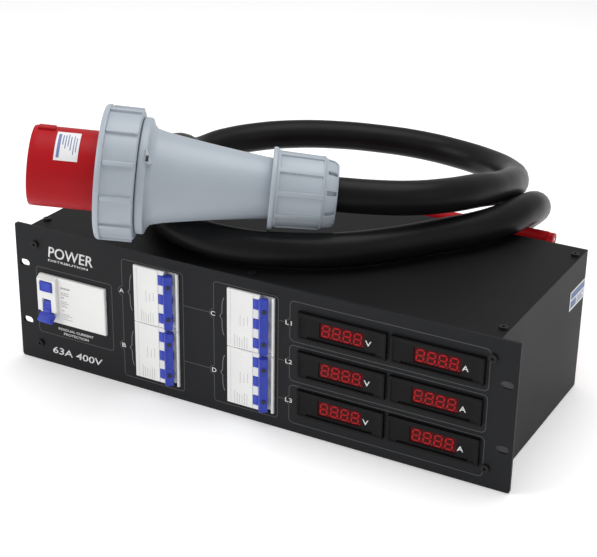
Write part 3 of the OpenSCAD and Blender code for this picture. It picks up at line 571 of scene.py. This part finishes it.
def printedLines(name, paths, width, y, body, slot, ink, depth=0.05):
    # each path is a run of points across the panel, drawn as one flat ribbon
    mesh = bpy.data.meshes.new(name)
    shape = bmesh.new()
    for path in paths:
        points = [Vector((x, z)) for x, z in path]
        shut = (points[0] - points[-1]).length < 0.01
        if shut:
            points = points[:-1]
        rows = []
        for i, point in enumerate(points):
            before = points[i - 1] if i or shut else point
            after = points[(i + 1) % len(points)] if i + 1 < len(points) or shut else point
            along = (after - before).normalized()
            side = Vector((-along.y, along.x)) * width / 2
            rows.append([shape.verts.new(((p.x) * mm, (y + d) * mm, p.y * mm))
                         for p, d in ((point + side, 0), (point - side, 0), (point - side, depth), (point + side, depth))])
        for i in range(len(rows) if shut else len(rows) - 1):
            one, two = rows[i], rows[(i + 1) % len(rows)]
            for k in range(4):
                shape.faces.new((one[k], one[(k + 1) % 4], two[(k + 1) % 4], two[k]))
        if not shut:
            shape.faces.new(rows[0])
            shape.faces.new(list(reversed(rows[-1])))
    bmesh.ops.recalc_face_normals(shape, faces=shape.faces)
    shape.to_mesh(mesh)
    shape.free()
    piece = bpy.data.objects.new(name, mesh)
    bpy.context.collection.objects.link(piece)
    return finishPiece(piece, name, body, slot, ink, smooth=0)


def arc(cx, cz, radius, start, stop, steps=6):
    return [(cx + radius * math.cos(math.radians(start + (stop - start) * i / steps)),
             cz + radius * math.sin(math.radians(start + (stop - start) * i / steps))) for i in range(steps + 1)]


def framePath(left, right, bottom, top, radius, bumps=(), bump=4.2):
    # rounded frame; its left side bulges out round each letter
    path = arc(right - radius, top - radius, radius, 90, 0) + arc(right - radius, bottom + radius, radius, 0, -90)
    path += arc(left + radius, bottom + radius, radius, -90, -180)
    for z in sorted(bumps):
        path += [(left, z - bump - 1)] + arc(left, z, bump, -90, -270, 10) + [(left, z + bump + 1)]
    path += arc(left + radius, top - radius, radius, 180, 90)
    return path + [path[0]]


def bracePath(x, low, high, wide=4.6):
    half = (high - low) / 2
    path = []
    for i in range(25):
        t = -1 + i / 12
        bend = (abs(t) ** 5) * 0.5 + (1 - min(1, abs(t) * 6)) * -0.5
        path.append((x + wide * 0.5 + bend * wide * 0.9, low + half * (t + 1)))
    return path


def addPrinting():
    y = frontY - printing["lift"]
    for number, (text, left, right, bottom, top, slant) in enumerate(printing["words"]):
        printedWord(f"printedWord{number + 1}", text, left, right, bottom, top, slant, y, "case", "panel_paint")
    frames = [framePath(-220, -137.6, 29.5, 94.2, 3),
              framePath(-126.1, -63.2, 8.8, 122, 3, (91.6, 38.6)),
              framePath(-32.4, 30.2, 9, 122.2, 3, (92.2, 38.5))]
    frames += [framePath(41.2, 217.4, low, high, 4, ((low + high) / 2 + lift,), 3.6)
               for low, high, lift in ((85.4, 121.9, -2.4), (48.4, 81.7, 0.4), (8.6, 44.4, 2.7))]
    links = [[(-63.2, 92.3), (-37.2, 92.4)], [(-63.2, 39.2), (-37.2, 39.2)], [(30.2, 101.3), (36.2, 101.3)],
             [(30.2, 65.5), (36.4, 65.5)], [(30.2, 29.3), (36.6, 29.3)]]
    printedLines("panelFrames", frames + links, 0.55, y, "case", "panel_paint", "inkGrey")
    braces = [bracePath(-120.4, 74.8, 109), bracePath(-120.0, 21, 55), bracePath(-26.6, 74.2, 109.2),
              bracePath(-26.2, 21.2, 55.3)]
    printedLines("panelBraces", braces, 0.5, y, "case", "panel_paint", "inkDim")


addPrinting()
print("panel printed")


# ---- breakers ----

breakers = {
    "strips": (-90.3, 4.2), "poles": 18, "proud": 1.5, "halfWidth": 22.65,
    "drumX": 6.5, "drumIn": 6.5, "drumRadius": 7.5, "lean": 50, "reach": 15,
}
middleZ = (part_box("front_panel")[0][2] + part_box("front_panel")[1][2]) / 2 / mm


def addHandle(letter, x, z):
    # hubs, levers and the tie bar, shaped upright and then leaned over
    drum = Vector((x + breakers["drumX"], frontY - breakers["proud"] + breakers["drumIn"], z))
    parts = []
    for pole in (-1, 0, 1):
        hub = turned([(0.8, -4.4), (7.0, -4.4), (7.5, -3.9), (7.5, 3.9), (7.0, 4.4), (0.8, 4.4)], 48)
        hub.data.transform(Matrix.Translation((0, 0, pole * breakers["poles"] * mm)))
        lever = block((3, -2, pole * breakers["poles"] - 4.4), (11, 2, pole * breakers["poles"] + 4.4), 0.5)
        parts += [hub, lever]
    bar = block((8.3, -3.6, -25), (14.9, 3.6, 25), 0)
    openEdit()
    bpy.ops.mesh.select_all(action="SELECT")
    bpy.ops.mesh.bisect(plane_co=(0, 0, 9 * mm), plane_no=(0, 0, 1))
    bpy.ops.mesh.select_all(action="SELECT")
    bpy.ops.mesh.bisect(plane_co=(0, 0, -9 * mm), plane_no=(0, 0, 1))
    pickFaces(bar, lambda middle, normal: normal.x > 0.9)
    bpy.ops.mesh.inset(thickness=0.8 * mm, use_individual=True)
    bpy.ops.mesh.extrude_region_shrink_fatten(TRANSFORM_OT_shrink_fatten={"value": -0.35 * mm})
    closeEdit()
    bevelEdges(bar, 0.6 * mm, 3)
    parts.append(bar)
    lean = Matrix.Translation(drum * mm) @ Matrix.Rotation(math.radians(-breakers["lean"]), 4, "Z")
    handle = finishPiece(joined(parts), f"handleSkin{letter.upper()}", f"breaker_handle_{letter}", "blue_plastic", place=lean)
    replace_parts(handle, f"handle_{letter}")
    # two black discs on the tie bar: painted shade standing in for the dark inside of its holes
    shadeDots = []
    for spot in (-15, 15):
        shadeDot = turned([(0.2, -0.2), (1.7, -0.2), (1.9, 0.05), (1.9, 0.35), (1.5, 0.45), (0.9, 0.3), (0.2, 0.2)], 24)
        shadeDot.data.transform(Matrix.Translation((14.95 * mm, 0, spot * mm)) @ Matrix.Rotation(math.radians(90), 4, "Y"))
        shadeDots.append(shadeDot)
    finishPiece(joined(shadeDots), f"handleHoleShade{letter.upper()}", f"breaker_handle_{letter}", "black_plastic", place=lean)


def addBreakerFace(letter, x, z):
    # a moulded cover on each pole's left part, and the small print on it
    y = frontY - breakers["proud"]
    cover = block((x - 22.2, y - 0.35, z - 26.4), (x + 2.6, y + 0.6, z + 26.4), 0)
    pickFaces(cover, lambda middle, normal: normal.y < -0.9)
    bpy.ops.mesh.inset(thickness=0.9 * mm)
    bpy.ops.mesh.extrude_region_move(TRANSFORM_OT_translate={"value": (0, 0.1 * mm, 0)})
    closeEdit()
    bevelEdges(cover, 0.12 * mm, 2)
    rail = block((x + 20.7, y - 0.5, z - 26.4), (x + 22.5, y + 3, z + 26.4), 0.3)
    finishPiece(joined([cover, rail]), f"breakerFace{letter.upper()}", "case", "white_plastic")
    marks = [[(x - 19, z - 25 + 1.7 * k), (x - 19, z - 24.1 + 1.7 * k)] for k in range(30)]
    marks += [[(x - 9.7 + 3.7 * k, z - 5.5 + k), (x - 9.7 + 3.7 * k, z + 5 - 2 * (k % 2))] for k in range(3)]
    marks += [[(x - 15 + 2.4 * k, z - 25.4), (x - 15 + 2.4 * k, z - 14 - (5 * k) % 4)] for k in range(6)]
    printedLines(f"breakerMarks{letter.upper()}", marks, 0.36, y - 0.3, "case", "white_plastic", "inkFaint", 0.2)


def addBreakers():
    places = {"a": (0, 1), "b": (0, -1), "c": (1, 1), "d": (1, -1)}
    for letter, (strip, side) in places.items():
        x, z = breakers["strips"][strip], middleZ + side * 1.5 * breakers["poles"]
        addBreakerFace(letter, x, z)
        addHandle(letter, x, z)


addBreakers()
print("breakers built")


# ---- residual current breaker ----

def addResidual():
    low, high = [Vector(c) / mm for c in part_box("rcd_body")]
    y = frontY - 2
    plate = block((low.x + 20.7, y - 0.35, middleZ - 22.2), (high.x - 0.4, y + 0.5, middleZ + 22.2), 0)
    pickFaces(plate, lambda middle, normal: normal.y < -0.9)
    bpy.ops.mesh.inset(thickness=1.4 * mm)
    bpy.ops.mesh.extrude_region_move(TRANSFORM_OT_translate={"value": (0, 0.2 * mm, 0)})
    closeEdit()
    bevelEdges(plate, 0.15 * mm, 2)
    finishPiece(plate, "residualLabel", "case", "white_plastic")
    left = low.x + 23.6
    rows = [(79.5, 1.6, 11), (75, 0.8, 10), (73, 0.8, 9), (70.4, 1.1, 3), (66.4, 0.55, 7), (64.8, 0.55, 9),
            (63.2, 0.55, 6), (61.6, 0.55, 8), (57.5, 0.7, 4), (54.2, 0.5, 9), (52.6, 0.5, 12), (51, 0.5, 8), (49.2, 0.5, 13)]
    for number, (z, thick, wide) in enumerate(rows):
        steps = max(2, int(wide / 1.7))
        dashes = [[(left + k * 1.7, z), (left + k * 1.7 + 1.15, z)] for k in range(steps)]
        printedLines(f"residualMark{number + 1}", dashes, thick, y - 0.2, "case", "white_plastic", "inkDim", 0.3)
    button = block((low.x + 3.6, y - 5.7, middleZ + 8.4), (low.x + 16.4, y + 2.3, middleZ + 17.6), 0.7, 3)
    pickFaces(button, lambda middle, normal: normal.y < -0.95)
    bpy.ops.mesh.inset(thickness=0.7 * mm)
    bpy.ops.mesh.extrude_region_move(TRANSFORM_OT_translate={"value": (0, 0.3 * mm, 0)})
    closeEdit()
    finishPiece(button, "testButtonSkin", "test_button", "blue_plastic")
    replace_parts(button, "rcd_test_button")
    pivot = Vector((low.x + 10, frontY + 1, middleZ - 7.25))
    hub = turned([(0.8, -4.5), (6.4, -4.5), (7, -3.9), (7, 3.9), (6.4, 4.5), (0.8, 4.5)], 48)
    hub.data.transform(Matrix.Rotation(math.radians(90), 4, "Y"))
    lever = block((-4.2, -10, -3), (4.2, -3, 3), 0.7, 3)
    knob = block((-6.2, -18, -3.5), (7.8, -9, 3.5), 1.2, 3)
    ribs = [block((-5 + 2.4 * k, -17, 3), (-4 + 2.4 * k, -10, 3.8), 0.3) for k in range(5)]
    lean = Matrix.Translation(pivot * mm) @ Matrix.Rotation(math.radians(45), 4, "X")
    toggle = finishPiece(joined([hub, lever, knob] + ribs), "toggleSkin", "toggle", "blue_plastic", place=lean)
    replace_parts(toggle, "rcd_toggle")


addResidual()
print("residual current breaker built")


# ---- meters ----

meters = {
    "columns": (89.7, 173.8), "rows": (36, 0, -36), "width": 80.4, "height": 24, "proud": 3,
    "window": (41, 14), "windowShift": (0.4, 0.3), "digitWidth": 6.1, "digitHeight": 9.6, "digitStep": 9.6,
    "digitSlant": 0.1,
}


def segmentShape(x0, z0, x1, z1, half):
    # pointed bar between two corners of a digit
    along = Vector((x1 - x0, z1 - z0)).normalized()
    side = Vector((-along.y, along.x)) * half
    a, b = Vector((x0, z0)) + along * half * 0.6, Vector((x1, z1)) - along * half * 0.6
    return [a, a + along * half + side, b - along * half + side, b, b - along * half - side, a + along * half - side]


def addDigits(name, x, z, y):
    shape = bmesh.new()
    w, h, s = meters["digitWidth"] / 2, meters["digitHeight"] / 2, meters["digitSlant"]
    bars = [(-w, h, w, h), (-w, 0, w, 0), (-w, -h, w, -h), (-w, 0, -w, h), (w, 0, w, h), (-w, -h, -w, 0), (w, -h, w, 0)]
    for digit in range(4):
        middle = x + (digit - 1.5) * meters["digitStep"] - 0.4
        outlines = [segmentShape(*bar, 0.62) for bar in bars]
        dot = [Vector((w + 1.7 + 0.62 * math.cos(math.radians(60 * k)), -h + 0.62 * math.sin(math.radians(60 * k)))) for k in range(6)]
        for outline in outlines + [dot]:
            face = [[shape.verts.new(((middle + p.x + s * p.y) * mm, (y + deep) * mm, (z + p.y) * mm)) for p in outline]
                    for deep in (0, 0.12)]
            shape.faces.new(face[0])
            shape.faces.new(list(reversed(face[1])))
            for k in range(6):
                shape.faces.new((face[0][k], face[1][k], face[1][(k + 1) % 6], face[0][(k + 1) % 6]))
    bmesh.ops.recalc_face_normals(shape, faces=shape.faces)
    mesh = bpy.data.meshes.new(name)
    shape.to_mesh(mesh)
    shape.free()
    piece = bpy.data.objects.new(name, mesh)
    bpy.context.collection.objects.link(piece)
    finishPiece(piece, name, "case", "display_red", "segmentLit", smooth=0)


meterGlass = []


def addMeter(name, node, unit, x, z):
    w, h = meters["width"] / 2 + 0.1, meters["height"] / 2 + 0.1
    front = frontY - meters["proud"] - 0.1
    bezel = block((x - w, front, z - h), (x + w, frontY + 0.3, z + h), 0)
    wx, wz = x + meters["windowShift"][0], z + meters["windowShift"][1]
    ww, wh = meters["window"][0] / 2 - 0.2, meters["window"][1] / 2 - 0.2
    cuts = [((wx - ww, 0, 0), (1, 0, 0)), ((wx + ww, 0, 0), (1, 0, 0)), ((x - 31, 0, 0), (1, 0, 0)), ((x + 31, 0, 0), (1, 0, 0)),
            ((0, 0, wz - wh), (0, 0, 1)), ((0, 0, wz + wh), (0, 0, 1)), ((0, 0, z - 9.8), (0, 0, 1)), ((0, 0, z - 7.9), (0, 0, 1)),
            ((x - 37.6, 0, 0), (1, 0, 0)), ((x + 37.6, 0, 0), (1, 0, 0)), ((0, 0, z + 9.6), (0, 0, 1))]
    openEdit()
    for place, normal in cuts:
        bpy.ops.mesh.select_all(action="SELECT")
        bpy.ops.mesh.bisect(plane_co=[c * mm for c in place], plane_no=normal)

    def inWindow(middle, normal):
        return normal.y < -0.9 and abs(middle.x / mm - wx) < ww and abs(middle.z / mm - wz) < wh

    def inLip(middle, normal):
        return normal.y < -0.9 and abs(middle.x / mm - x) < 31 and -9.8 < middle.z / mm - z < -7.9

    def inDish(middle, normal):
        return (normal.y < -0.9 and middle.y / mm < front + 0.1 and abs(middle.x / mm - x) < 37.6
                and -9.8 < middle.z / mm - z < 9.6 and not inLip(middle, normal))

    pickFaces(bezel, inDish)
    bpy.ops.mesh.extrude_region_move(TRANSFORM_OT_translate={"value": (0, 0.7 * mm, 0)})
    pickFaces(bezel, inLip)
    bpy.ops.mesh.extrude_region_move(TRANSFORM_OT_translate={"value": (0, 1.9 * mm, 0)})
    pickFaces(bezel, inWindow)
    bpy.ops.mesh.extrude_region_move(TRANSFORM_OT_translate={"value": (0, 1.5 * mm, 0)})
    bpy.ops.mesh.select_all(action="DESELECT")
    closeEdit()
    bevelEdges(bezel, 0.45 * mm, 2, 30)
    can = block((x - w + 2.1, frontY - 0.9, z - h + 1.6), (x + w - 2.1, frontY + 38, z + h - 1.6), 0)
    pickFaces(can, lambda middle, normal: normal.y > 0.9)
    bpy.ops.mesh.inset(thickness=1.5 * mm)
    bpy.ops.mesh.extrude_region_move(TRANSFORM_OT_translate={"value": (0, -36 * mm, 0)})
    closeEdit()
    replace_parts(finishPiece(joined([bezel, can]), f"{name}Bezel", "case", "meter_plastic"), node)
    meterGlass.append(block((wx - ww + 0.15, front + 1.55, wz - wh + 0.15), (wx + ww - 0.15, front + 2.4, wz + wh - 0.15), 0.3))
    addDigits(f"{name}Digits", wx, wz, front + 1.5)
    printedWord(f"{name}Unit", unit, wx + ww + 1.0, wx + ww + 6.6, z - 3.0, z + 1.9, 0, front + 0.62, "case", "meter_plastic", depth=0.1)


for row, lift in enumerate(meters["rows"]):
    addMeter(f"voltmeter{row + 1}", f"voltmeter_l{row + 1}", "V", meters["columns"][0], middleZ + lift)
    addMeter(f"ammeter{row + 1}", f"ammeter_l{row + 1}", "A", meters["columns"][1], middleZ + lift)
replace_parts(finishPiece(joined(meterGlass), "meterGlass", "case", "display_red", "display_red"), "meter_windows")
print("meters built")


# ---- plug trimmings, sticker and outlet lids ----

def curvedPlate(name, inner, outer, start, stop, low, high, body, slot, finish):
    # a thin ring about the plug, cut down to the plate that is wanted
    ring = turned([(inner, start), (outer, start), (outer, stop), (inner, stop)], 180)
    pickFaces(ring, lambda middle, normal: not low < angleOf(middle) < high)
    bpy.ops.mesh.delete(type="FACE")
    bpy.ops.mesh.select_mode(type="EDGE")
    bpy.ops.mesh.select_all(action="DESELECT")
    bpy.ops.mesh.select_non_manifold()
    bpy.ops.mesh.fill_holes(sides=0)
    bpy.ops.mesh.select_all(action="SELECT")
    bpy.ops.mesh.normals_make_consistent(inside=False)
    closeEdit()
    return finishPiece(ring, name, body, slot, finish, plugPlace)


def addPlugTrim():
    curvedPlate("plugLabel", 33.5, 33.95, 21.2, 40.8, 191, 240, "case", "red_plastic", "paper")
    marks = [(23, 25.4, 196, 235), (26.8, 27.7, 198, 216), (29, 29.8, 198, 222), (31.2, 32, 197, 219),
             (33.4, 34.2, 200, 224), (36, 36.7, 198, 230), (38, 38.7, 202, 226)]
    for number, (start, stop, low, high) in enumerate(marks):
        curvedPlate(f"plugLabelMark{number + 1}", 33.6, 34.05, start, stop, low, high, "case", "red_plastic", "inkBlue")
    latch = block((-50, -6, 96.4), (-43, 6, 102.6), 0)
    openEdit()
    bpy.ops.mesh.select_all(action="SELECT")
    bpy.ops.mesh.bisect(plane_co=(0, 6 * mm, 97.6 * mm), plane_no=(0, 0.38, 0.92), clear_outer=True, use_fill=True)
    bpy.ops.mesh.select_all(action="SELECT")
    bpy.ops.mesh.normals_make_consistent(inside=False)
    closeEdit()
    turn = plugPlace @ Matrix.Rotation(math.radians(50.5), 4, "Z")
    bevelEdges(latch, 0.4 * mm, 2)
    finishPiece(latch, "plugCatch", "case", "grey_plastic", place=turn)
    # a dark block on the catch's front: painted shade where the hole's inside lies in shadow
    catchHoleShade = block((-50.15, -4.8, 97), (-46, 0.5, 99.6), 0.2)
    finishPiece(catchHoleShade, "plugCatchHoleShade", "case", "grey_plastic", "paintedHoleShade", place=turn)


def addSticker():
    low, high = [Vector(c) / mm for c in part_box("chassis_tray")]
    side = high.x
    deselect()
    sheet = block((side - 0.1, 62, 88), (side + 0.25, 100, 106), 0.08)
    finishPiece(sheet, "stickerPaper", "case", "powder_coat", "paper")
    inks = [block((side + 0.1, 64, 98.4), (side + 0.32, 98, 104.4), 0.05), block((side + 0.1, 64, 90), (side + 0.32, 78, 96.6), 0.05)]
    inks += [block((side + 0.1, 80, 90 + 1.7 * k), (side + 0.32, 97 - 3 * (k % 3), 90.8 + 1.7 * k), 0.05) for k in range(4)]
    finishPiece(joined(inks), "stickerInk", "case", "powder_coat", "inkBlue")


def addLidRims():
    for number in range(1, 5):
        low, high = [Vector(c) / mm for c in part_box(f"outlet_lid_{number}")]
        middle = Vector(((low.x + high.x) / 2, high.y, 66))
        rim = turned([(24, -1.2), (30.5, -1.2), (31, -0.6), (30.5, 0.55), (29.4, 0.8), (26, 0.8), (24.6, 0.4)], 72)
        bevelEdges(rim, 0.15 * mm, 2, 30)
        place = Matrix.Translation(middle * mm) @ Matrix.Rotation(math.radians(-90), 4, "X")
        ribs = [block((-9, 8 - 5 * k, -0.6), (9, 9.6 - 5 * k, 0.7), 0.4) for k in range(4)]
        finishPiece(joined([rim] + ribs), f"lidRelief{number}", f"lid_{number}", "red_plastic", place=place)


addPlugTrim()
addCable()
print("cable laid")
addSticker()
addLidRims()
print("trimmings built")
